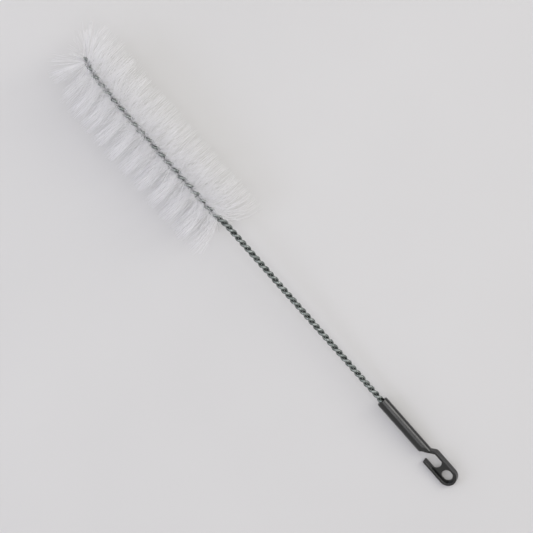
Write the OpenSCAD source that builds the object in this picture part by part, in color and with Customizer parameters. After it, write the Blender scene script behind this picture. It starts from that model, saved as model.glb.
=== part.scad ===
// Bottle brush: nylon bristles held in a folded and twisted wire, with a moulded hook handle.
// It lies as it comes to rest, on the bristles under its head and on one edge of its hook.
// X runs from the bristle tip to the hook, Z is up, and the table is the plane Z = 0.
// The origin is on the table under the middle of the brush.

/* [Brush] */
// Length from the fold of the wire to the end of the hook
overall_length = 305; // [240:1:400]
// Height that the bristles under the rear of the head give up to the brush's weight
settle = 4.5; // [3:0.5:9]

/* [Bristles] */
// Length of wire that holds bristles
head_length = 112; // [60:1:150]
// Reach of the bristles from the middle of the wire
bristle_reach = 23.5; // [16:0.5:34]
// Number of tufts that one half turn of the wire holds
tufts_per_row = 12; // [6:1:16]
// Share of its reach by which the shortest tuft falls short
raggedness = 0.05; // [0:0.01:0.15]
// Lean of the first row towards the tip on the +Y side, in degrees
front_lean = 12; // [0:1:12]
// Lean of the last row towards the handle on the +Y side, in degrees
rear_lean = 15; // [0:1:25]
// Lean of the first and the last row towards the handle on the -Y side, in degrees
trail_lean = 13; // [0:1:20]
// Direction of the parting round the wire, in degrees from +Y towards +Z
parting_at = 119; // [0:1:359]
// Half of the angle that the parting leaves open, to the middle of the nearest tufts
parting_half = 38; // [0:1:45]
// Share of their reach that the bristles lose on the +Y side, where they are pressed in
pressed_in = 0.04; // [0:0.01:0.25]

/* [Tip fan] */
// Number of tufts in the fold of the wire
fan_tufts = 6; // [3:1:8]
// Reach of the tufts in the fold
fan_reach = 22.5; // [12:0.5:30]
// Smallest lean of the fan towards the tip, in degrees
fan_lean_min = 15; // [12:1:30]
// Largest lean of the fan towards the tip, in degrees
fan_lean_max = 42; // [31:1:60]

/* [Wire] */
// Diameter of the wire
wire_d = 1.7; // [1.2:0.1:2.2]
// Length of one full turn of the bare stem
stem_pitch = 7.5; // [6:0.1:12]
// Length of one full turn in the bristle head
head_pitch = 11; // [9:0.1:14]
// Room that the bristles keep open between the two strands
bristle_room = 0.34; // [0.3:0.02:0.6]
// Sideways step of the wire where the head begins
stem_step = 1.3; // [0:0.1:3]
// Sideways bow of the wire over the front half of the head
head_bow = 1.8; // [0:0.1:3]
// Sideways curl of the wire at its fold
tip_curl = 2.6; // [0:0.1:4]
// Direction of the strands at the fold, in degrees from +Y towards +Z
fold_turn = 266; // [0:1:359]

/* [Grip] */
// Diameter of the round grip
grip_d = 6.3; // [5.6:0.1:9]
// Length from the open end of the grip to the end of the hook
handle_length = 60; // [45:1:90]
// Depth of the socket that holds the wire
socket_depth = 24; // [12:1:30]
// Bevel round the open end of the grip
grip_bevel = 0.4; // [0.1:0.1:0.8]

/* [Hook] */
// Outer width of the hook
hook_w = 10.5; // [9:0.1:16]
// Thickness of the hook
hook_t = 4; // [2.5:0.1:5]
// Width of the bar that the hook is made of
bar_w = 1.6; // [1.2:0.1:2.2]
// Rounding of the bar's edges
bar_edge = 0.45; // [0.1:0.05:0.55]
// Length of the straight arm between the neck and the round end
arm_length = 13.9; // [11:0.1:20]
// Length of the free arm, from the round end to its tip
free_arm_length = 15; // [9:0.1:18]
// Angle of the neck to the grip
neck_angle = 43; // [35:1:55]
// Radius of the neck's bend, along the middle of the bar
neck_bend = 1.4; // [1.2:0.1:2]
// Diameter of the hanging hole
hole_d = 6.3; // [3:0.1:7]
// Distance from the end of the hook to the centre of the hole
hole_setback = 5.9; // [5.3:0.1:6.4]
// Thickness of the web round the hole
web_t = 0.9; // [0.6:0.1:2]
// Distance from the end of the hook to the round end of the slot
slot_setback = 12.1; // [10.6:0.1:13]
// Roll of the hook about the brush, in degrees
hook_roll = 30; // [15:1:40]

/* [Hidden] */
$fn = 64;

// Bristle rows: one row for each half turn of the wire in the head.
fold_r = (wire_d + bristle_room) / 2;
fan_step = 0.27;
fan_length = fan_step * fan_tufts;
rows_length = head_length - fold_r - wire_d / 2 - fan_length;
row_count = round(rows_length / (head_pitch / 2));
row_pitch = rows_length / row_count;

// Places along the brush, measured from the middle of the hook's round end.
x_end = hook_w / 2;
x_tip = x_end - overall_length;
x_fold = x_tip + wire_d / 2 + fold_r;
x_rows = x_fold + fan_length;
x_base = x_tip + head_length;
x_grip = x_end - handle_length;
x_socket = x_grip + socket_depth;

// Wire: rings of a six-sided section, the same area as the round wire.
wire_sides = 6;
rings_per_turn = 8;
section_r = wire_d / 2 * sqrt(2 * PI / (wire_sides * sin(360 / wire_sides)));
strand_gap = 0.12;
stem_r = (wire_d + strand_gap) / 2;
step_length = 10;
step_after = 1.5;
bow_length = head_length / 2;
curl_length = 12;

// Socket: a close fit round the twisted pair.
socket_gap = 0.05;
socket_d = 2 * (stem_r + section_r + socket_gap);

// Tufts: a thin waist between the strands, and a wedge on each side of it.
waist_r = 1.05;
waist_t = 0.12;
waist_w = 0.26;
tuft_fill = 0.76;
comb_spread = 95;

// Hook: the bar's middle line, and the middle of the neck where it meets the grip.
bar_y = (hook_w - bar_w) / 2;
elbow_end = [-arm_length - neck_bend * sin(neck_angle), bar_y - neck_bend * (1 - cos(neck_angle))];
x_neck = elbow_end[0] - elbow_end[1] / tan(neck_angle);
neck_length = elbow_end[1] / sin(neck_angle);
slot_w = hook_w - 2 * bar_w;
x_slot = x_end - slot_setback - slot_w / 2;
x_hole = x_end - hole_setback;
shoulder_length = 5;

// Cuts run this far past the faces that they open.
over = 1;

// Rest: the brush tips until the hook's edge and the settled bristles both touch the table.
base_height = bristle_reach - settle;
function hook_height(tilt) =
    (hook_w / 2 - bar_edge) * norm([sin(tilt), sin(hook_roll) * cos(tilt)])
    + (hook_t / 2 - bar_edge) * cos(hook_roll) * cos(tilt) + bar_edge;
function rest_tilt(guess, rounds) = rounds == 0 ? guess
    : rest_tilt(atan((base_height - hook_height(guess)) / -x_base), rounds - 1);
tilt = rest_tilt(4, 6);
front_end = x_tip * cos(tilt) - fan_reach * sin(fan_lean_max);
x_origin = -(x_end + front_end) / 2;
y_origin = (bristle_reach * pressed_in - wire_y(x_rows)) / 2;
z_origin = hook_height(tilt);

row_names = [for (i = [1 : row_count]) str("bristle_row_", i < 10 ? "0" : "", i)];

// Puts a point of the straight brush where it lies at rest.
function laid(p) = [
    x_origin + p[0] * cos(tilt) + p[2] * sin(tilt),
    y_origin + p[1],
    z_origin - p[0] * sin(tilt) + p[2] * cos(tilt)
];

function unit(v) = v / norm(v);
function ease(t) = let (u = min(1, max(0, t))) u * u * (3 - 2 * u);
function round_axis(angle) = [0, cos(angle), sin(angle)];

// Sideways place of the wire's middle line: a step at the head's base, a bow, and a curl at the tip.
function wire_y(x) = stem_step * ease((x - x_base - step_after) / step_length + 0.5)
    + head_bow * pow(max(0, 1 - (x - x_tip) / bow_length), 2)
    + tip_curl * pow(max(0, 1 - (x - x_tip) / curl_length), 2);

// Direction of the first strand round the middle line. The twist is left-handed.
function strand_turn(x) = let (head = min(x, x_base) - x_fold, stem = max(0, x - x_base))
    fold_turn - 180 * head / row_pitch - 360 * stem / stem_pitch;

// Distance of a strand from the middle line: wider where bristles lie between the strands.
function strand_r(x) = fold_r + (stem_r - fold_r) * ease((x - x_base) / (stem_pitch / 2));

// Triangles of a closed tube: count rings of sides points each, starting at point first.
function tube_faces(count, sides, first = 0) = concat(
    [for (i = [0 : count - 2], j = [0 : sides - 1])
        let (a = first + i * sides, k = (j + 1) % sides)
        each [[a + j, a + sides + j, a + k], [a + k, a + sides + j, a + sides + k]]],
    [for (j = [1 : sides - 2]) [first, first + j, first + j + 1]],
    [for (j = [1 : sides - 2]) let (a = first + (count - 1) * sides) [a, a + j + 1, a + j]]
);

// One strand as pairs of a middle point and the direction away from the other strand.
function strand(side) =
    let (
        head_steps = ceil(rings_per_turn * (x_base - x_fold) / (2 * row_pitch)),
        stem_steps = ceil(rings_per_turn * (x_socket - x_base) / stem_pitch),
        xs = concat(
            [for (i = [0 : head_steps]) x_fold + (x_base - x_fold) * i / head_steps],
            [for (i = [1 : stem_steps]) x_base + (x_socket - x_base) * i / stem_steps]
        )
    )
    [for (x = xs) let (out = round_axis(strand_turn(x) + side * 180))
        [[x, wire_y(x), 0] + strand_r(x) * out, out]];

function reversed(list) = [for (i = [len(list) - 1 : -1 : 0]) list[i]];

// The whole wire: down one strand, round the fold, and back along the other.
function wire_line() =
    let (
        fold_steps = 6,
        out = round_axis(fold_turn),
        fold = [for (i = [1 : fold_steps - 1]) let (a = 180 * i / fold_steps,
            away = out * cos(a) - [sin(a), 0, 0])
            [[x_fold, wire_y(x_fold), 0] + fold_r * away, away]]
    )
    concat(reversed(strand(0)), fold, strand(1));

module twisted_wire() {
    line = wire_line();
    last = len(line) - 1;
    points = [for (i = [0 : last])
        let (
            along = unit(line[min(i + 1, last)][0] - line[max(i - 1, 0)][0]),
            out = unit(line[i][1] - (line[i][1] * along) * along),
            across = cross(along, out)
        )
        for (j = [0 : wire_sides - 1])
            let (a = 360 * (j + 0.5) / wire_sides)
            laid(line[i][0] + section_r * (cos(a) * out + sin(a) * across))];
    color("#7d8280") polyhedron(points, tube_faces(len(line), wire_sides));
}

// Bristle tips are combed away from the parting, more the nearer they are to it.
function from_parting(angle) = let (a = (angle - parting_at) % 360)
    a > 180 ? a - 360 : a < -180 ? a + 360 : a;
function combed(angle) = let (a = from_parting(angle), share = parting_half / comb_spread)
    abs(a) >= comb_spread ? angle
    : parting_at + (a < 0 ? -1 : 1) * (parting_half + abs(a) * (1 - share));
function crowding(angle) = abs(from_parting(angle)) < comb_spread ? 1 - parting_half / comb_spread : 1;
function pressed(reach, aim) = reach * (1 - pressed_in * pow(max(0, cos(aim)), 2));

// A tip that would reach below the table ends on it.
function grounded(root, tip) = tip[2] >= 0 ? tip : root + (tip - root) * root[2] / (root[2] - tip[2]);

// Four corners of a tuft's end, on the cylinder to which the bristles are trimmed.
function tuft_end(x, aim, half_angle, half_w, reach, lean, flip) =
    let (root = [x, wire_y(x), 0])
    [for (c = [[1, 1], [-1, 1], [-1, -1], [1, -1]])
        let (
            out = round_axis(aim + flip * c[0] * half_angle),
            tip = root + reach * out + [reach * tan(lean) + c[1] * half_w, 0, 0]
        )
        grounded(laid(root), laid(tip))];

// Four corners of a tuft's waist, on one side of the wire's middle line.
function tuft_waist(x, turn, side) =
    let (root = [x, wire_y(x), 0] + side * waist_r * round_axis(turn), across = round_axis(turn + 90))
    [for (c = [[1, 1], [-1, 1], [-1, -1], [1, -1]])
        laid(root + c[0] * waist_t / 2 * across + [c[1] * waist_w / 2, 0, 0])];

// A tuft lies across the wire, so it has a wedge on each side, with an aim, reach and lean of its own.
function tuft(x, turn, aims, half_angles, half_w, reaches, leans) = concat(
    tuft_end(x, aims[0], half_angles[0], half_w, reaches[0], leans[0], -1),
    tuft_waist(x, turn, -1),
    tuft_waist(x, turn, 1),
    tuft_end(x, aims[1], half_angles[1], half_w, reaches[1], leans[1], 1)
);

module tufts(list) {
    rings = 4;
    corners = 4;
    points = [for (t = list) each t];
    faces = [for (i = [0 : len(list) - 1]) each tube_faces(rings, corners, i * rings * corners)];
    color("#e6e7ec") polyhedron(points, faces);
}

// On the +Y side the lean swings evenly along the head. On the -Y side only the end rows lean.
function row_lean(share, aim) = let (near = (1 + cos(aim)) / 2)
    near * (rear_lean * share - front_lean * (1 - share))
    + (1 - near) * trail_lean * (pow(share, 4) + pow(1 - share, 4));

// The bristles that one half turn of the wire holds.
module bristle_row(row) {
    short = rands(0, raggedness, tufts_per_row, row);
    step = 180 / tufts_per_row;
    half_w = tuft_fill * row_pitch / 2;
    tufts([for (i = [0 : tufts_per_row - 1])
        let (
            x = x_rows + row_pitch * (row + (i + 0.5) / tufts_per_row),
            turn = strand_turn(x) + 90,
            share = (x - x_rows) / rows_length,
            sides = [turn + 180, turn],
            aims = [for (a = sides) combed(a)],
            leans = [for (a = aims) row_lean(share, a)],
            half_angles = [for (a = sides) crowding(a) * tuft_fill * step / 2],
            reaches = [for (a = aims) pressed(bristle_reach * (1 - short[i]), a)]
        )
        tuft(x, turn, aims, half_angles, half_w, reaches, leans)]);
}

// The bristles in the fold of the wire spread all round and lean out past its tip, most on the +Y side.
function fan_lean(aim) = -(fan_lean_min + (fan_lean_max - fan_lean_min) * pow((1 + cos(aim)) / 2, 2));

module tip_fan() {
    step = 180 / fan_tufts;
    half_w = tuft_fill * row_pitch / 2;
    tufts([for (i = [0 : fan_tufts - 1])
        let (
            x = x_fold + fan_length * (i + 0.5) / fan_tufts,
            turn = strand_turn(x) + 90,
            aim = strand_turn(x_rows) + 90 + step * (fan_tufts - i - 0.5),
            aims = [aim + 180, aim],
            leans = [for (a = aims) fan_lean(a)],
            reaches = [for (a = leans) fan_reach * cos(a)],
            half_angle = tuft_fill * step / 2
        )
        tuft(x, turn, aims, [half_angle, half_angle], half_w, reaches, leans)]);
}

// Section of the hook's bar: bar_w wide along X and hook_t thick along Y, with round edges.
module bar_section() {
    square([bar_w - 2 * bar_edge, hook_t], center = true);
    square([bar_w, hook_t - 2 * bar_edge], center = true);
    for (i = [-1, 1], j = [-1, 1])
        translate([i * (bar_w / 2 - bar_edge), j * (hook_t / 2 - bar_edge)]) circle(r = bar_edge);
}

// A straight bar along +X from the origin.
module bar(length) {
    rotate([90, 0, 90]) linear_extrude(height = length) bar_section();
}

module bar_bend(radius, angle) {
    rotate_extrude(angle = angle) translate([radius, 0]) bar_section();
}

// Round grip, flattened at its shoulder and cut off along the neck.
module grip() {
    intersection() {
        rotate([0, 90, 0]) rotate_extrude() polygon([
            [0, x_grip],
            [grip_d / 2 - grip_bevel, x_grip],
            [grip_d / 2, x_grip + grip_bevel],
            [grip_d / 2, 0],
            [0, 0]
        ]);
        rotate([90, 0, 0]) linear_extrude(height = grip_d + 2 * over, center = true) polygon([
            [x_grip - over, grip_d / 2 + over],
            [x_neck - shoulder_length - over, grip_d / 2 + over],
            [x_neck, hook_t / 2],
            [0, hook_t / 2],
            [0, -hook_t / 2],
            [x_neck, -hook_t / 2],
            [x_neck - shoulder_length - over, -grip_d / 2 - over],
            [x_grip - over, -grip_d / 2 - over]
        ]);
        translate([x_neck, 0, 0]) rotate([0, 0, neck_angle])
            translate([-handle_length, bar_edge - bar_w / 2, -grip_d])
                cube([2 * handle_length, handle_length, 2 * grip_d]);
    }
}

// The neck bends down from the arm and runs straight to the middle of the grip's end.
module neck() {
    translate([-arm_length, bar_y - neck_bend, 0]) {
        rotate([0, 0, 90]) bar_bend(neck_bend, neck_angle);
        rotate([0, 0, 90 + neck_angle]) translate([neck_bend, 0, 0]) rotate([0, 0, 90]) bar(neck_length);
    }
}

module hook_loop() {
    rotate([0, 0, -90]) bar_bend(bar_y, 180);
    translate([-arm_length, bar_y, 0]) bar(arm_length);
    translate([bar_w / 2 - free_arm_length, -bar_y, 0]) {
        bar(free_arm_length - bar_w / 2);
        rotate_extrude() intersection() {
            bar_section();
            translate([0, -hook_t]) square([bar_w, 2 * hook_t]);
        }
    }
}

// Thin web between the arms, from the round end of the slot to the end of the hook.
module hook_web() {
    linear_extrude(height = web_t, center = true) difference() {
        union() {
            translate([x_slot, -bar_y]) square([-x_slot, 2 * bar_y]);
            circle(r = bar_y);
        }
        translate([x_slot, 0]) circle(d = slot_w);
        translate([x_hole, 0]) circle(d = hole_d);
    }
}

module hook_handle() {
    color("#2c2e30")
        translate([x_origin, y_origin, z_origin]) rotate([0, tilt, 0])
            translate([0, stem_step, 0]) rotate([hook_roll, 0, 0])
                difference() {
                    union() {
                        grip();
                        neck();
                        hook_loop();
                        hook_web();
                    }
                    translate([x_grip - over, 0, 0]) rotate([0, 90, 0])
                        cylinder(d = socket_d, h = socket_depth + over);
                }
}

twisted_wire();
hook_handle();
tip_fan();
for (i = [0 : row_count - 1]) bristle_row(i);
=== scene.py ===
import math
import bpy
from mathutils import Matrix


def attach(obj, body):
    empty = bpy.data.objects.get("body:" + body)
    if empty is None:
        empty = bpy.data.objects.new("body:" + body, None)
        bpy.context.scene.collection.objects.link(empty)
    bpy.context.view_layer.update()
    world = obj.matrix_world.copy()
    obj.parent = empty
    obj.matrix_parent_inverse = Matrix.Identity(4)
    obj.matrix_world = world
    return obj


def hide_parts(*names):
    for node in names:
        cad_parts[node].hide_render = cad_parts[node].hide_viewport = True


bl_info = {
    "name": "Bottle Brush",
    "version": (1, 0, 0),
    "blender": (4, 5, 0),
    "location": "View3D > Sidebar > Brush",
    "description": "Dresses a bottle brush with its wire, bristles and moulded handle",
    "category": "Add Mesh",
}

import bpy
import numpy as np
from bpy.props import FloatProperty, FloatVectorProperty, IntProperty, PointerProperty

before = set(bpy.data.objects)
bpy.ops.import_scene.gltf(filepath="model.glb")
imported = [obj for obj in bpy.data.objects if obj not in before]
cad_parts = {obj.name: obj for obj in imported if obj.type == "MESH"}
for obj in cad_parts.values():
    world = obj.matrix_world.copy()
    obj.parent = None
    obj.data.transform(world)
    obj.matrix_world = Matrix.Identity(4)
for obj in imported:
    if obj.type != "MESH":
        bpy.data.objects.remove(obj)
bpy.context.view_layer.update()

BODY = "root"
MM = 0.001
UV_MAP = "OFBake"
NYLON = "nylon_6_filament_extruded"

# The straight brush as its solids are laid out, in millimetres from the middle of the hook's round
# end: the wire's tip, where its fold begins, where the rows of bristles begin, the head's base, and
# the strands' ends in the grip.
FOLD_DEPTH = 1.87
FAN_LENGTH = 1.62
HEAD_LENGTH = 112
X_TIP = -299.75
X_FOLD = X_TIP + FOLD_DEPTH
X_ROWS = X_FOLD + FAN_LENGTH
X_BASE = X_TIP + HEAD_LENGTH
X_SOCKET = -30.75
ROW_COUNT = 20
ROWS_LENGTH = X_BASE - X_ROWS
ROW_PITCH = ROWS_LENGTH / ROW_COUNT

# The stem stands a step to +Y of the head. The step's middle is a little past the head's base.
STEM_STEP = 1.3
STEP_LENGTH = 10
STEP_AFTER = 1.5
# Towards its tip the head bows to +Y, and the last of it curls the same way.
HEAD_BOW = 1.8
BOW_LENGTH = 56
TIP_CURL = 2.6
CURL_LENGTH = 12

# Direction of the first strand in the fold, in degrees, and the strands' distance from the middle
# line: wider in the fold and the head, where they hold bristles, than in the stem.
FOLD_TURN = 266
FOLD_R = 1.02
STEM_R = 0.91
# Rings round the half circle of the fold.
FOLD_RINGS = 13

# Where that brush lies at rest: the slope of its wire, and the place of the hook's round end.
TILT = math.radians(4.504083)
ORIGIN = np.array([154.314866, -0.975153, 4.210293])


def hex_colour(code):
    """The linear colour of an sRGB hex value such as "#d6d6d4"."""
    parts = [int(code[i : i + 2], 16) / 255 for i in (1, 3, 5)]
    return tuple(c / 12.92 if c <= 0.04045 else ((c + 0.055) / 1.055) ** 2.4 for c in parts)


class WireSettings(bpy.types.PropertyGroup):
    diameter: FloatProperty(
        name="Diameter",
        description="Diameter of one strand",
        default=0.0017,
        unit="LENGTH",
        precision=5,
    )
    stem_pitch: FloatProperty(
        name="Stem pitch",
        description="Length of one full turn of the bare stem",
        default=0.0075,
        unit="LENGTH",
        precision=5,
    )
    sides: IntProperty(name="Sides", description="Faces round a strand", default=16, min=8)
    rings: IntProperty(
        name="Rings", description="Rings along one full turn of a strand", default=24, min=12
    )
    zinc: FloatVectorProperty(
        name="Zinc",
        description="Colour of the clean zinc",
        subtype="COLOR",
        size=3,
        default=hex_colour("#989d9b"),
    )
    oxide: FloatVectorProperty(
        name="Oxide",
        description="Colour of the dulled zinc",
        subtype="COLOR",
        size=3,
        default=hex_colour("#666c6a"),
    )


class BristleSettings(bpy.types.PropertyGroup):
    reach: FloatProperty(
        name="Reach",
        description="From the middle of the wire to a bristle's end",
        default=0.0233,
        unit="LENGTH",
        precision=5,
    )
    diameter: FloatProperty(
        name="Diameter",
        description="Diameter of one bristle",
        default=0.00008,
        unit="LENGTH",
        precision=5,
    )
    per_row: IntProperty(
        name="Bristles a row",
        description="Bristles that one half turn of the wire holds",
        default=140,
        min=10,
    )
    front_lean: FloatProperty(
        name="Front lean",
        description="Lean of the first row towards the tip on the +Y side",
        default=math.radians(12),
        unit="ROTATION",
    )
    rear_lean: FloatProperty(
        name="Rear lean",
        description="Lean of the last row towards the handle on the +Y side",
        default=math.radians(10),
        unit="ROTATION",
    )
    trail_lean: FloatProperty(
        name="Trailing lean",
        description="Lean of the first row towards the handle on the -Y side",
        default=math.radians(17),
        unit="ROTATION",
    )
    pair_lean: FloatProperty(
        name="Pair lean",
        description="Lean of neighbouring rows on the -Y side towards each other",
        default=math.radians(6.5),
        unit="ROTATION",
    )
    parting_at: FloatProperty(
        name="Parting",
        description="Direction of the parting round the wire, from +Y towards +Z",
        default=math.radians(92),
        unit="ROTATION",
    )
    open_front: FloatProperty(
        name="Open in front",
        description="Angle that the parting leaves open on its +Y side",
        default=math.radians(26),
        unit="ROTATION",
    )
    open_rear: FloatProperty(
        name="Open behind",
        description="Angle that the parting leaves open on its -Y side",
        default=math.radians(7),
        unit="ROTATION",
    )
    pressed_in: FloatProperty(
        name="Pressed in",
        description="Share of their reach that bristles lose on the +Y side",
        default=0.02,
        min=0,
        max=1,
        subtype="FACTOR",
    )
    nylon: FloatVectorProperty(
        name="Nylon",
        description="Colour of a fresh bristle",
        subtype="COLOR",
        size=3,
        default=hex_colour("#ffffff"),
    )
    milky: FloatVectorProperty(
        name="Milky nylon",
        description="Colour of a clouded bristle",
        subtype="COLOR",
        size=3,
        default=hex_colour("#fafafc"),
    )


class FanSettings(bpy.types.PropertyGroup):
    count: IntProperty(
        name="Bristles", description="Bristles in the fold of the wire", default=110, min=10
    )
    reach: FloatProperty(
        name="Reach",
        description="From the fold of the wire to a bristle's end",
        default=0.0225,
        unit="LENGTH",
        precision=5,
    )
    lean_min: FloatProperty(
        name="Smallest lean",
        description="Smallest lean past the tip",
        default=math.radians(15),
        unit="ROTATION",
    )
    lean_max: FloatProperty(
        name="Largest lean",
        description="Largest lean past the tip",
        default=math.radians(42),
        unit="ROTATION",
    )


class HandleSettings(bpy.types.PropertyGroup):
    plastic: FloatVectorProperty(
        name="Plastic",
        description="Colour of the moulding",
        subtype="COLOR",
        size=3,
        default=hex_colour("#08090a"),
    )
    roughness: FloatProperty(
        name="Roughness",
        description="Roughness of the moulded skin",
        default=0.2,
        min=0,
        max=1,
        subtype="FACTOR",
    )


class StageSettings(bpy.types.PropertyGroup):
    floor: FloatVectorProperty(
        name="Table",
        description="Colour of the table",
        subtype="COLOR",
        size=3,
        default=hex_colour("#d6d6d4"),
    )
    lens: FloatProperty(
        name="Lens", description="Focal length of the camera", default=200, unit="CAMERA"
    )
    view_width: FloatProperty(
        name="View width",
        description="Width of the table that the camera sees",
        default=0.2878,
        unit="LENGTH",
    )
    turn: FloatProperty(
        name="Camera turn",
        description="Turn of the camera about the line of sight",
        default=math.radians(48.59),
        unit="ROTATION",
    )
    ambient: FloatProperty(
        name="Ambient",
        description="Level of the light from all round",
        default=0.68,
        min=0,
        max=1,
        subtype="FACTOR",
    )


SETTINGS = {
    "brush_wire": WireSettings,
    "brush_bristles": BristleSettings,
    "brush_fan": FanSettings,
    "brush_handle": HandleSettings,
    "brush_stage": StageSettings,
}


# Shape of the brush


def ease(t):
    t = np.clip(t, 0, 1)
    return t * t * (3 - 2 * t)


def mix(a, b, t):
    """The value that lies the share t of the way from a to b."""
    return a + (b - a) * t


def unit(v):
    return v / np.linalg.norm(v, axis=-1, keepdims=True)


def round_axis(angle):
    """Unit vectors across the wire, by their angle in degrees from +Y towards +Z."""
    a = np.radians(angle)
    return np.stack([np.zeros_like(a), np.cos(a), np.sin(a)], axis=-1)


def laid(points):
    """Puts points of the straight brush where they lie at rest, still in millimetres."""
    x, y, z = np.moveaxis(points, -1, 0)
    c, s = math.cos(TILT), math.sin(TILT)
    return ORIGIN + np.stack([x * c + z * s, y, z * c - x * s], axis=-1)


def wire_y(x):
    """Sideways place of the wire's middle line: its step, its bow and the curl at its tip."""
    step = STEM_STEP * ease((x - X_BASE - STEP_AFTER) / STEP_LENGTH + 0.5)
    bow = HEAD_BOW * np.maximum(0, 1 - (x - X_TIP) / BOW_LENGTH) ** 2
    curl = TIP_CURL * np.maximum(0, 1 - (x - X_TIP) / CURL_LENGTH) ** 2
    return step + bow + curl


def middle_line(x):
    return np.stack([x, wire_y(x), np.zeros_like(x)], axis=-1)


def strand_turn(x, stem_pitch):
    """Direction of the first strand from the middle line, in degrees. The twist is left-handed."""
    head = np.minimum(x, X_BASE) - X_FOLD
    return FOLD_TURN - 180 * head / ROW_PITCH - 360 * np.maximum(0, x - X_BASE) / stem_pitch


# Meshes


def tubes(line, out, across, radius, sides):
    """Closed tubes, one round each line of points: their points, the faces of their walls and of
    their ends, and the tube, ring and side of each wall. A tube's corners are placed by the
    directions out and across."""
    count, rings = line.shape[:2]
    angle = np.radians(360 * np.arange(sides) / sides)[:, None]
    spokes = np.cos(angle) * out[:, :, None] + np.sin(angle) * across[:, :, None]
    points = line[:, :, None] + radius * spokes
    tube, ring, side = np.meshgrid(
        np.arange(count), np.arange(rings - 1), np.arange(sides), indexing="ij"
    )
    base = (tube * rings + ring) * sides
    after = (side + 1) % sides
    walls = [base + side, base + after, base + sides + after, base + sides + side]
    walls = np.stack(walls, -1).reshape(-1, 4)
    start = np.arange(count)[:, None] * rings * sides
    stop = start + (rings - 1) * sides
    ends = np.concatenate([start + np.arange(sides)[::-1], stop + np.arange(sides)])
    return points.reshape(-1, 3), walls, ends, (tube, ring, side)


def walls_map(left, right, low, high):
    """Places of the walls' corners on the map."""
    return np.stack([left, low, right, low, right, high, left, high], -1).reshape(-1, 2)


def mesh_object(name, points, groups, uvs=None):
    """A flat-shaded mesh from points in metres and groups of faces with as many corners each."""
    mesh = bpy.data.meshes.new(name)
    mesh.vertices.add(len(points))
    mesh.vertices.foreach_set("co", np.ascontiguousarray(points, np.float32).ravel())
    corners = np.concatenate([g.ravel() for g in groups])
    sizes = np.concatenate([np.full(len(g), g.shape[1]) for g in groups])
    mesh.loops.add(len(corners))
    mesh.loops.foreach_set("vertex_index", corners.astype(np.int32))
    mesh.polygons.add(len(sizes))
    mesh.polygons.foreach_set("loop_start", (np.cumsum(sizes) - sizes).astype(np.int32))
    if uvs is not None:
        layer = mesh.uv_layers.new(name=UV_MAP)
        layer.uv.foreach_set("vector", np.ascontiguousarray(uvs, np.float32).ravel())
    mesh.update(calc_edges=True)
    mesh.validate()
    obj = bpy.data.objects.new(name, mesh)
    bpy.context.scene.collection.objects.link(obj)
    return obj


# Materials


def add_node(material, kind, links=None, **settings):
    """Adds a node. A setting is a property of the node. A link is a value or another node's output,
    for the input socket of that name or number."""
    tree = material.node_tree
    node = tree.nodes.new(kind)
    for key, value in settings.items():
        setattr(node, key, value)
    for key, value in (links or {}).items():
        socket = node.inputs[key]
        if isinstance(value, bpy.types.NodeSocket):
            tree.links.new(value, socket)
        else:
            socket.default_value = value
    return node


def rgba(colour):
    return (*colour, 1.0)


def new_material(name):
    material = bpy.data.materials.new(name)
    material.use_nodes = True
    material.node_tree.nodes.clear()
    return material


def nylon_filament(settings):
    """Extruded nylon 6 filament: water-white and a little milky, with a soft gloss from the die.
    Light passes from bristle to bristle, so the head glows and its shadows stay pale."""
    m = new_material(NYLON)
    uv = add_node(m, "ShaderNodeUVMap", uv_map=UV_MAP)
    parts = add_node(m, "ShaderNodeSeparateXYZ", {0: uv.outputs[0]})
    # About half of the bristles are clouded, each as much as its column of the map says.
    cloud = add_node(
        m, "ShaderNodeMapRange", {0: parts.outputs[0], 1: 0.45, 2: 1.0, 3: 0.0, 4: 1.0}
    )
    colour = add_node(
        m,
        "ShaderNodeMix",
        {0: cloud.outputs[0], 6: rgba(settings.nylon), 7: rgba(settings.milky)},
        data_type="RGBA",
    )
    body = add_node(
        m,
        "ShaderNodeBsdfPrincipled",
        {"Base Color": colour.outputs[2], "Roughness": 0.38, "IOR": 1.53},
    )
    glow = add_node(m, "ShaderNodeBsdfTranslucent", {"Color": colour.outputs[2]})
    # The skin turns back most of the light. All that got in comes out again.
    wall = add_node(m, "ShaderNodeNewGeometry")
    passed = add_node(m, "ShaderNodeMapRange", {0: wall.outputs["Backfacing"], 3: 0.3, 4: 1.0})
    both = add_node(
        m, "ShaderNodeMixShader", {0: passed.outputs[0], 1: body.outputs[0], 2: glow.outputs[0]}
    )
    add_node(m, "ShaderNodeOutputMaterial", {"Surface": both.outputs[0]})
    return m


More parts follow.
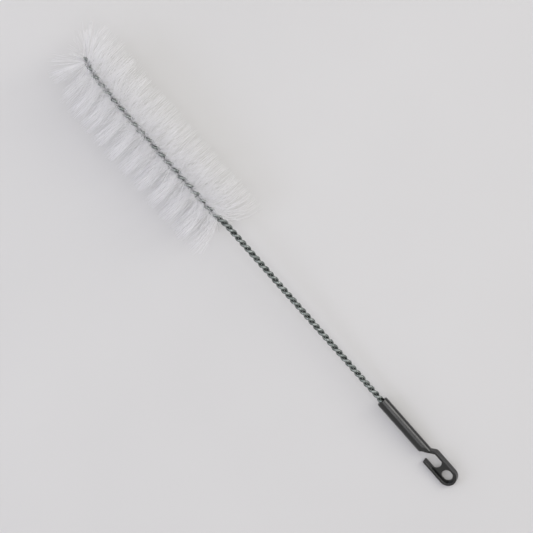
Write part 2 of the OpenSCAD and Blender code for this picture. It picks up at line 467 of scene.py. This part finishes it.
def galvanised_wire(settings):
    """Hot-dip galvanised steel wire, cold drawn: dull grey zinc with a broken shine along the strand."""
    m = new_material("galvanised_steel_wire_drawn")
    place = add_node(m, "ShaderNodeTexCoord")
    # Zinc bloom in patches about 2 mm across.
    bloom = add_node(
        m,
        "ShaderNodeTexNoise",
        {"Vector": place.outputs["Object"], "Scale": 500.0, "Detail": 3.0, "Roughness": 0.6},
    )
    patch = add_node(m, "ShaderNodeMapRange", {0: bloom.outputs[0], 1: 0.35, 2: 0.68})
    colour = add_node(
        m,
        "ShaderNodeMix",
        {0: patch.outputs[0], 6: rgba(settings.zinc), 7: rgba(settings.oxide)},
        data_type="RGBA",
    )
    rough = add_node(m, "ShaderNodeMapRange", {0: patch.outputs[0], 3: 0.2, 4: 0.36})
    # Die lines are about 0.05 mm apart, drawn at 0.15 mm so that they show.
    uv = add_node(m, "ShaderNodeUVMap", uv_map=UV_MAP)
    stretched = add_node(m, "ShaderNodeMapping", {0: uv.outputs[0], 3: (36.0, 500.0, 1.0)})
    lines = add_node(
        m, "ShaderNodeTexNoise", {"Vector": stretched.outputs[0], "Scale": 1.0, "Detail": 2.0}
    )
    bump = add_node(
        m, "ShaderNodeBump", {"Strength": 0.25, "Distance": 0.00003, "Height": lines.outputs[0]}
    )
    body = add_node(
        m,
        "ShaderNodeBsdfPrincipled",
        {
            "Base Color": colour.outputs[2],
            "Metallic": 1.0,
            "Roughness": rough.outputs[0],
            "Normal": bump.outputs[0],
        },
    )
    add_node(m, "ShaderNodeOutputMaterial", {"Surface": body.outputs[0]})
    return m


def black_polypropylene(settings):
    """Injection-moulded black polypropylene: a smooth skin that shines where the lamps graze it."""
    m = new_material("black_polypropylene_moulded")
    place = add_node(m, "ShaderNodeTexCoord")
    # The mould's fine spark-eroded grain, about 0.25 mm.
    grain = add_node(
        m, "ShaderNodeTexNoise", {"Vector": place.outputs["Object"], "Scale": 4000.0, "Detail": 2.0}
    )
    bump = add_node(
        m, "ShaderNodeBump", {"Strength": 0.2, "Distance": 0.00002, "Height": grain.outputs[0]}
    )
    # Handling leaves smears some 6 mm long.
    smear = add_node(
        m, "ShaderNodeTexNoise", {"Vector": place.outputs["Object"], "Scale": 160.0, "Detail": 3.0}
    )
    clean, greasy = settings.roughness - 0.04, settings.roughness + 0.06
    rough = add_node(
        m, "ShaderNodeMapRange", {0: smear.outputs[0], 1: 0.3, 2: 0.7, 3: clean, 4: greasy}
    )
    body = add_node(
        m,
        "ShaderNodeBsdfPrincipled",
        {
            "Base Color": rgba(settings.plastic),
            "Roughness": rough.outputs[0],
            "IOR": 1.49,
            "Specular IOR Level": 0.7,
            "Normal": bump.outputs[0],
        },
    )
    add_node(m, "ShaderNodeOutputMaterial", {"Surface": body.outputs[0]})
    return m


def table_top(settings):
    """Matt white laminate, with the faint cloudiness of a sheet that has been wiped."""
    m = new_material("white_laminate_matt")
    place = add_node(m, "ShaderNodeTexCoord")
    # Clouds about 120 mm across.
    clouds = add_node(
        m, "ShaderNodeTexNoise", {"Vector": place.outputs["Object"], "Scale": 8.0, "Detail": 2.0}
    )
    shade = add_node(
        m, "ShaderNodeMapRange", {0: clouds.outputs[0], 1: 0.3, 2: 0.7, 3: 0.0, 4: 1.0}
    )
    light = rgba(settings.floor)
    dark = rgba([0.97 * c for c in settings.floor])
    colour = add_node(
        m, "ShaderNodeMix", {0: shade.outputs[0], 6: light, 7: dark}, data_type="RGBA"
    )
    body = add_node(
        m, "ShaderNodeBsdfPrincipled", {"Base Color": colour.outputs[2], "Roughness": 0.75}
    )
    add_node(m, "ShaderNodeOutputMaterial", {"Surface": body.outputs[0]})
    return m


# Wire


def strand_path(side, wire):
    """Middle points of one strand, and the directions away from the other strand."""
    pitch = wire.stem_pitch / MM
    head_rings = math.ceil(wire.rings * (X_BASE - X_FOLD) / (2 * ROW_PITCH))
    stem_rings = math.ceil(wire.rings * (X_SOCKET - X_BASE) / pitch)
    head = np.linspace(X_FOLD, X_BASE, head_rings + 1)
    stem = np.linspace(X_BASE, X_SOCKET, stem_rings + 1)
    x = np.concatenate([head, stem[1:]])
    away = round_axis(strand_turn(x, pitch) + 180 * side)
    apart = mix(FOLD_R, STEM_R, ease((x - X_BASE) / (pitch / 2)))
    return middle_line(x) + apart[:, None] * away, away


class BRUSH_OT_add_wire(bpy.types.Operator):
    """Twist the two strands of galvanised wire, down from the grip, round the fold and back"""

    bl_idname = "brush.add_wire"
    bl_label = "Twisted wire"

    def execute(self, context):
        wire = context.scene.brush_wire
        first, first_away = strand_path(0, wire)
        second, second_away = strand_path(1, wire)
        a = np.radians(np.linspace(0, 180, FOLD_RINGS))[1:-1, None]
        ahead = np.array([1.0, 0, 0])
        fold_away = round_axis(np.array(FOLD_TURN)) * np.cos(a) - ahead * np.sin(a)
        fold = middle_line(np.array(X_FOLD)) + FOLD_R * fold_away
        line = np.concatenate([first[::-1], fold, second])
        away = np.concatenate([first_away[::-1], fold_away, second_away])
        along = unit(np.gradient(line, axis=0))
        out = unit(away - (away * along).sum(-1, keepdims=True) * along)
        across = np.cross(along, out)
        radius, sides = wire.diameter / MM / 2, wire.sides
        tube = tubes(line[None], out[None], across[None], radius, sides)
        points, walls, ends, (_, ring, side) = tube
        # The map runs once round the strand, and in metres along it. The ends are out of sight.
        steps = np.linalg.norm(np.diff(line, axis=0), axis=-1)
        length = np.concatenate([[0], np.cumsum(steps)]) * MM
        uvs = walls_map(side / sides, (side + 1) / sides, length[ring], length[ring + 1])
        uvs = np.concatenate([uvs, np.zeros((2 * sides, 2))])
        obj = mesh_object("wire", laid(points) * MM, [walls, ends], uvs)
        obj.data.shade_smooth()
        obj.data.materials.append(galvanised_wire(wire))
        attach(obj, BODY)
        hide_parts("twisted_wire")
        return {"FINISHED"}


# Bristles

# Bristles are drawn as thin prisms, with more rings near the wire, where they bend most. They stay
# flat-shaded, because smoothed edges as sharp as these would swallow light.
BRISTLE_SIDES = 4
# Shares of a bristle's reach at which its rings stand.
RING_SHARES = np.array([0, 0.06, 0.16, 0.35, 0.64, 1.0])
# How much of its way along the wire a bristle that spreads early has gone at each ring.
SPREAD_EARLY = 1 - (1 - RING_SHARES) ** 3
# Millimetres in which bristles bend round from where they leave the wire to where they aim.
BEND_LENGTH = 2.8
# Millimetres that each end may stray in x, in y and in z.
STRAY = 0.8
# The map has columns, one for each shade of bristle. A bristle leaves this share of its column free
# on each side, and its end faces are twice this high on the map.
COLUMNS = 64
COLUMN_MARGIN = 0.1
END_RADIUS = 0.005


def half_bristles(x, start, aim, lean, reach, stray, spread):
    """Points along the bristles on one side of the wire. They leave it in the direction start and
    bend round to aim. Lean is their slope along the wire, and spread says how soon they take it up.
    Angles are in degrees, reach is taken across the wire, and stray is how far each end wanders."""
    first, last = round_axis(start), round_axis(aim)
    points = [middle_line(x)]
    for a, b in zip(RING_SHARES, RING_SHARES[1:]):
        w = ease((a + b) / 2 * reach / BEND_LENGTH)[:, None]
        points.append(points[-1] + ((b - a) * reach)[:, None] * ((1 - w) * first + w * last))
    points = np.stack(points, axis=1)
    points[..., 0] += (reach * np.tan(np.radians(lean)))[:, None] * spread
    return points + RING_SHARES[None, :, None] ** 2 * stray[:, None]


# Millimetres over the table at which the bristles under the head lie, that their ends may rise over
# that, and that these wander sideways.
TIP_CLEARANCE = 0.12
END_RISE = 0.9
END_WANDER = 1.2
# Share of its run along the table that a bent bristle keeps, and the least run, in millimetres.
RUN_SHARE = 0.96
LEAST_RUN = 2.0
# The knee of a bent bristle: its share of the way to the free end, and its least height as a share
# of the wire's.
KNEE_SHARE = 0.55
KNEE_HEIGHT = 0.18
# Share of its reach where a bent bristle starts to leave its free shape, and over which it does.
BENT_FROM = 0.08
BENT_OVER = 0.3


def rested(points, reach, rng):
    """Bends the bristles that would reach through the table, so that they lie along it."""
    root, tip = points[:, :1], points[:, -1:]
    low = (tip[..., 2:] < TIP_CLEARANCE).astype(float)
    height = root[..., 2:]
    sideways = tip[..., :2] - root[..., :2] + rng.normal(0, END_WANDER, tip[..., :2].shape)
    run_squared = np.maximum(reach[:, None, None] ** 2 - height**2, LEAST_RUN**2)
    run = RUN_SHARE * np.sqrt(run_squared)
    rise = TIP_CLEARANCE + rng.random(height.shape) * END_RISE
    end = np.concatenate([root[..., :2] + unit(sideways) * run, rise], -1)
    knee = root + KNEE_SHARE * (tip - root)
    knee[..., 2] = np.maximum(knee[..., 2], KNEE_HEIGHT * height[..., 0])
    t = RING_SHARES[None, :, None]
    bent = (1 - t) ** 2 * root + 2 * t * (1 - t) * knee + t**2 * end
    w = low * ease((t - BENT_FROM) / BENT_OVER)
    points = (1 - w) * points + w * bent
    points[..., 2] = np.maximum(points[..., 2], TIP_CLEARANCE)
    return points


def bristle_mesh(name, halves, diameter, rng):
    """One piece of whole bristles, each from one end through the wire to its other end."""
    line = np.concatenate([halves[0][:, :0:-1], halves[1]], axis=1)
    count, rings = line.shape[:2]
    along = unit(np.gradient(line, axis=1))
    out = unit(np.cross(along, unit(rng.normal(size=(count, 1, 3)))))
    across = np.cross(along, out)
    points, walls, ends, (tube, ring, _) = tubes(line, out, across, diameter / 2, BRISTLE_SIDES)
    # Across the map, a bristle keeps to its column. Up the map, it runs from end to end.
    column = rng.integers(0, COLUMNS, count)
    left = ((column + COLUMN_MARGIN) / COLUMNS)[tube]
    right = ((column + 1 - COLUMN_MARGIN) / COLUMNS)[tube]
    uvs = [walls_map(left, right, ring / (rings - 1), (ring + 1) / (rings - 1))]
    angle = np.radians(360 * np.arange(BRISTLE_SIDES) / BRISTLE_SIDES)
    u = (column[:, None] + 0.5 + (0.5 - COLUMN_MARGIN) * np.cos(angle)) / COLUMNS
    depth = END_RADIUS * (1 + np.sin(angle))
    for v in (depth[::-1], 1 - depth):
        uvs.append(np.stack([u, np.broadcast_to(v, u.shape)], -1).reshape(-1, 2))
    return mesh_object(name, points * MM, [walls, ends], np.concatenate(uvs))


# In each row the bristles crowd where the strands lie side by side: 0 is not at all, and 1 as much
# as can be. They lie in bundles.
BUNCHED = 0.85
BUNDLES = 24
# Angles that bundles and single bristles wander from their direction round the wire, in degrees.
BUNDLE_WANDER = 1.5
BRISTLE_WANDER = 9.0
# Angles that bundles and single bristles lean apart, in degrees, on the +Y side and where they are
# in pairs on the -Y side.
BUNDLE_LEAN = (0.1, 2.2)
BRISTLE_LEAN = (20, 8)
# Share of its reach by which the shortest bristle falls short.
RAGGED = 0.06
# Degrees on each side of the parting over which the bristles make room for it.
PARTING_REACH = 95
FIRST_ROW_SEED = 100


def combed(angle, settings):
    """Turns bristles away from the parting, more the nearer they are to it."""
    at = math.degrees(settings.parting_at)
    front, rear = math.degrees(settings.open_front), math.degrees(settings.open_rear)
    past = (angle - at + 180) % 360 - 180
    opened = np.where(past > 0, rear, front)
    moved = at + np.sign(past) * (opened + np.abs(past) * (1 - opened / PARTING_REACH))
    return np.where(np.abs(past) < PARTING_REACH, moved, angle)


def bundled(share, size, rng):
    """A random value for each bundle, given to each bristle by its share of the row."""
    bundle = np.minimum((share * BUNDLES).astype(int), BUNDLES - 1)
    return rng.normal(0, size, BUNDLES)[bundle]


def row_lean(settings, row, along, near, paired):
    """Lean of a row towards the handle, in degrees. Along is how far down the head it is, near how
    near to +Y a bristle aims and paired how far it is in pairs, all from 0 to 1."""
    front, rear = math.degrees(settings.front_lean), math.degrees(settings.rear_lean)
    trail, pair = math.degrees(settings.trail_lean), math.degrees(settings.pair_lean)
    # On the +Y side the rows splay until they meet. On the -Y side all but the first and the last
    # stand upright.
    lean = near * (rear * along - front * (1 - along))
    lean = lean + (1 - near) * (rear / 2 * along**4 + trail * (1 - along) ** 4)
    return lean - pair * (-1) ** row * paired


def row_half(settings, row, share, x, start, rng):
    """A row's bristles on one side of the wire, which they leave in the direction start."""
    count = len(share)
    aim = combed(start, settings) + bundled(share, BUNDLE_WANDER, rng)
    aim = aim + rng.normal(0, BRISTLE_WANDER, count)
    near = (1 + np.cos(np.radians(aim))) / 2
    # The pairs are whole up to a sixth of the way from -Y to +Y, and gone half way.
    paired = ease(1.5 - 3 * near)
    lean = row_lean(settings, row, (x - X_ROWS) / ROWS_LENGTH, near, paired)
    lean = lean + mix(*BUNDLE_LEAN, paired) * bundled(share, 1.0, rng)
    lean = lean + mix(*BRISTLE_LEAN, paired) * rng.uniform(-1, 1, count)
    pressed = 1 - settings.pressed_in * np.maximum(0, np.cos(np.radians(aim))) ** 2
    reach = settings.reach / MM * pressed * (1 - RAGGED * rng.random(count) ** 2)
    stray = rng.uniform(-STRAY, STRAY, (count, 3))
    # Bristles that leave the wire upwards spread evenly on their way up, and the others early.
    upright = np.maximum(0, np.sin(np.radians(start)))[:, None] ** 2
    spread = mix(SPREAD_EARLY, RING_SHARES, upright)
    half = laid(half_bristles(x, start, aim, lean, reach, stray, spread))
    return rested(half, reach, rng)


class BRUSH_OT_add_bristle_rows(bpy.types.Operator):
    """Set a row of nylon bristles in each half turn of the wire"""

    bl_idname = "brush.add_bristle_rows"
    bl_label = "Bristle rows"

    def execute(self, context):
        settings = context.scene.brush_bristles
        pitch = context.scene.brush_wire.stem_pitch / MM
        nylon = nylon_filament(settings)
        # Where the strands lie side by side, as a share of the row.
        beside = strand_turn(np.array(X_ROWS), pitch) / 180 % 1
        for row in range(ROW_COUNT):
            rng = np.random.default_rng(FIRST_ROW_SEED + row)
            count = settings.per_row
            share = (np.arange(count) + rng.random(count)) / count
            share = (share - BUNCHED * np.sin(2 * np.pi * (share - beside)) / (2 * np.pi)) % 1
            x = X_ROWS + ROW_PITCH * (row + share)
            start = strand_turn(x, pitch) + 90
            halves = [row_half(settings, row, share, x, start + turn, rng) for turn in (0, 180)]
            obj = bristle_mesh(f"bristles_{row + 1:02d}", halves, settings.diameter / MM, rng)
            obj.data.materials.append(nylon)
            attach(obj, BODY)
            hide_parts(f"bristle_row_{row + 1:02d}")
        return {"FINISHED"}


# The bristles in the fold draw together into wisps, as wet ones do when they dry: the direction of
# each wisp round the wire, in degrees, and its lean as a share of the way from the smallest to the
# largest.
FAN_WISPS = [
    (4, 1.0),
    (58, 0.7),
    (108, 0.2),
    (158, 0.2),
    (184, 0.0),
    (212, 0.1),
    (262, 0.1),
    (314, 0.7),
]
# Share of the bristles that join a wisp, on the +Y side, and on the -Y side as a share of that.
FAN_DRAWN = 0.95
FAN_DRAWN_BEHIND = 0.3
# Share of the way to its wisp that such a bristle goes.
FAN_GATHERED = 0.9
# Degrees that bristles lean apart in a wisp, and outside of one, and that all of them wander round
# the wire.
WISP_LEAN = 1.2
LOOSE_LEAN = 10.2
FAN_WANDER = 1.0
# Share of its reach by which the shortest bristle of the fan falls short.
FAN_RAGGED = 0.1
FAN_SEED = 7


def fan_half(settings, x, start, aim, rng):
    """The fan's bristles on one side of the wire."""
    count = len(x)
    wisps, wisp_leans = np.array(FAN_WISPS).T
    away = (aim[:, None] - wisps + 180) % 360 - 180
    nearest = np.argmin(np.abs(away), axis=1)
    front = (1 + np.cos(np.radians(aim))) / 2
    drawn = rng.random(count) < FAN_DRAWN * mix(FAN_DRAWN_BEHIND, 1, front)
    aim = aim - FAN_GATHERED * drawn * away[np.arange(count), nearest]
    aim = aim + rng.normal(0, FAN_WANDER, count)
    low, high = math.degrees(settings.lean_min), math.degrees(settings.lean_max)
    loose = np.where(drawn, WISP_LEAN, LOOSE_LEAN)
    lean = -(mix(low, high, wisp_leans[nearest]) + loose * rng.normal(0, 1.0, count))
    reach = settings.reach / MM * np.cos(np.radians(lean)) * (1 - FAN_RAGGED * rng.random(count))
    stray = rng.uniform(-STRAY, STRAY, (count, 3))
    half = laid(half_bristles(x, start, aim, lean, reach, stray, RING_SHARES))
    return rested(half, reach, rng)


class BRUSH_OT_add_tip_fan(bpy.types.Operator):
    """Spread the bristles in the fold of the wire round and out past its tip"""

    bl_idname = "brush.add_tip_fan"
    bl_label = "Tip fan"

    def execute(self, context):
        settings, bristles = context.scene.brush_fan, context.scene.brush_bristles
        pitch = context.scene.brush_wire.stem_pitch / MM
        rng = np.random.default_rng(FAN_SEED)
        count = settings.count
        share = (np.arange(count) + rng.random(count)) / count
        x = mix(X_FOLD, X_ROWS, share)
        start = strand_turn(x, pitch) + 90
        # The fan goes on from the first row, through a half turn.
        aim = strand_turn(np.array(X_ROWS), pitch) + 90 + 180 * (1 - share)
        halves = [fan_half(settings, x, start + turn, aim + turn, rng) for turn in (0, 180)]
        obj = bristle_mesh("tip_bristles", halves, bristles.diameter / MM, rng)
        obj.data.materials.append(bpy.data.materials.get(NYLON) or nylon_filament(bristles))
        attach(obj, BODY)
        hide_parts("tip_fan")
        return {"FINISHED"}


# Handle


class BRUSH_OT_finish_handle(bpy.types.Operator):
    """Give the moulded grip and hook their black plastic"""

    bl_idname = "brush.finish_handle"
    bl_label = "Grip and hook"

    def execute(self, context):
        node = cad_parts["hook_handle"]
        plastic = black_polypropylene(context.scene.brush_handle)
        for slot in node.material_slots:
            slot.material = plastic
        return {"FINISHED"}


# Stage

TABLE_SIZE = 4.0
# The place on the table that the lamps and the camera face, and the height at which the view is as
# wide as it is set to be, in metres.
AIM = np.array([0.0041, 0.0016, 0.0])
AIM_HEIGHT = 0.01
# Lamps: where each stands from there, as its bearing round the table from +X towards +Y and its
# height, in degrees, its width and length in metres, its share of the light on the table, and its
# colour.
LAMP_DISTANCE = 1.5
LAMPS = {
    "ceiling": (90, 88, 1.0, 1.0, 0.28, "#fcfcff"),
    "strip": (73, 42, 0.3, 1.2, 0.14, "#fffdfa"),
    "window": (240, 48, 0.6, 0.6, 0.09, "#e4eaff"),
}
# Colours of the room on its -Y and its +Y side.
ROOM_COLOURS = ("#ebe8f4", "#f2eee8")


def add_lamp(scene, name, bearing, height, width, length, share, colour):
    lamp = bpy.data.lights.new(name, "AREA")
    lamp.shape = "RECTANGLE"
    lamp.size, lamp.size_y = width, length
    lamp.color = hex_colour(colour)
    b, h = math.radians(bearing), math.radians(height)
    lamp.energy = share * math.pi**2 * LAMP_DISTANCE**2 / math.sin(h)
    obj = bpy.data.objects.new(name, lamp)
    scene.collection.objects.link(obj)
    back = np.array([math.cos(b) * math.cos(h), math.sin(b) * math.cos(h), math.sin(h)])
    obj.location = AIM + LAMP_DISTANCE * back
    obj.rotation_euler = (math.pi / 2 - h, 0, b + math.pi / 2)
    obj.visible_camera = False


def add_room(scene, settings):
    """The light from all round, of one colour from -Y and another from +Y. The camera and the shiny
    pieces see it as pale as the table."""
    world = bpy.data.worlds.new("room")
    scene.world = world
    world.use_nodes = True
    world.node_tree.nodes.clear()
    place = add_node(world, "ShaderNodeTexCoord")
    parts = add_node(world, "ShaderNodeSeparateXYZ", {0: place.outputs["Generated"]})
    side = add_node(
        world, "ShaderNodeMapRange", {0: parts.outputs[1], 1: -0.8, 2: 0.8, 3: 0.0, 4: 1.0}
    )
    rear, front = (rgba(hex_colour(code)) for code in ROOM_COLOURS)
    walls = add_node(
        world, "ShaderNodeMix", {0: side.outputs[0], 6: rear, 7: front}, data_type="RGBA"
    )
    room = add_node(world, "ShaderNodeBackground", {0: walls.outputs[2], 1: settings.ambient})
    pale = add_node(world, "ShaderNodeBackground", {0: rgba(settings.floor), 1: 1.0})
    path = add_node(world, "ShaderNodeLightPath")
    looks = path.outputs["Is Camera Ray"]
    for ray in ("Is Glossy Ray", "Is Transmission Ray"):
        links = {0: looks, 1: path.outputs[ray]}
        looks = add_node(world, "ShaderNodeMath", links, operation="MAXIMUM").outputs[0]
    links = {0: looks, 1: room.outputs[0], 2: pale.outputs[0]}
    seen = add_node(world, "ShaderNodeMixShader", links)
    add_node(world, "ShaderNodeOutputWorld", {"Surface": seen.outputs[0]})


def add_camera(scene, settings):
    camera = bpy.data.cameras.new("camera")
    camera.lens = settings.lens
    camera.clip_end = 20
    obj = bpy.data.objects.new("camera", camera)
    scene.collection.objects.link(obj)
    distance = settings.view_width * settings.lens / camera.sensor_width
    obj.location = (AIM[0], AIM[1], AIM_HEIGHT + distance)
    obj.rotation_euler = (0, 0, settings.turn)
    scene.camera = obj


class BRUSH_OT_add_stage(bpy.types.Operator):
    """Set the table, the lamps, the light from all round and the camera"""

    bl_idname = "brush.add_stage"
    bl_label = "Table, lamps and camera"

    def execute(self, context):
        scene, settings = context.scene, context.scene.brush_stage
        corners = np.array([[-1, -1, 0], [1, -1, 0], [1, 1, 0], [-1, 1, 0]]) * TABLE_SIZE / 2
        floor = mesh_object("table", corners, [np.array([[0, 1, 2, 3]])])
        floor.data.materials.append(table_top(settings))
        for name, values in LAMPS.items():
            add_lamp(scene, name, *values)
        add_room(scene, settings)
        add_camera(scene, settings)
        scene.view_settings.view_transform = "Standard"
        return {"FINISHED"}


class BRUSH_PT_sidebar(bpy.types.Panel):
    """Sizes, colours and pieces of the bottle brush"""

    bl_idname = "BRUSH_PT_sidebar"
    bl_label = "Bottle Brush"
    bl_space_type = "VIEW_3D"
    bl_region_type = "UI"
    bl_category = "Brush"

    def draw(self, context):
        for name, operators in PARTS.items():
            box = self.layout.box()
            settings = getattr(context.scene, name)
            for key in settings.__annotations__:
                box.prop(settings, key)
            for operator in operators:
                box.operator(operator.bl_idname)


PARTS = {
    "brush_wire": [BRUSH_OT_add_wire],
    "brush_bristles": [BRUSH_OT_add_bristle_rows],
    "brush_fan": [BRUSH_OT_add_tip_fan],
    "brush_handle": [BRUSH_OT_finish_handle],
    "brush_stage": [BRUSH_OT_add_stage],
}
OPERATORS = [operator for operators in PARTS.values() for operator in operators]


def register():
    for cls in (*SETTINGS.values(), *OPERATORS, BRUSH_PT_sidebar):
        bpy.utils.register_class(cls)
    for name, cls in SETTINGS.items():
        setattr(bpy.types.Scene, name, PointerProperty(type=cls))


def unregister():
    for name in SETTINGS:
        delattr(bpy.types.Scene, name)
    for cls in (BRUSH_PT_sidebar, *reversed(OPERATORS), *reversed(SETTINGS.values())):
        bpy.utils.unregister_class(cls)


def main():
    register()
    bpy.ops.brush.add_wire()
    bpy.ops.brush.add_bristle_rows()
    bpy.ops.brush.add_tip_fan()
    bpy.ops.brush.finish_handle()
    bpy.ops.brush.add_stage()


if __name__ == "__main__":
    main()
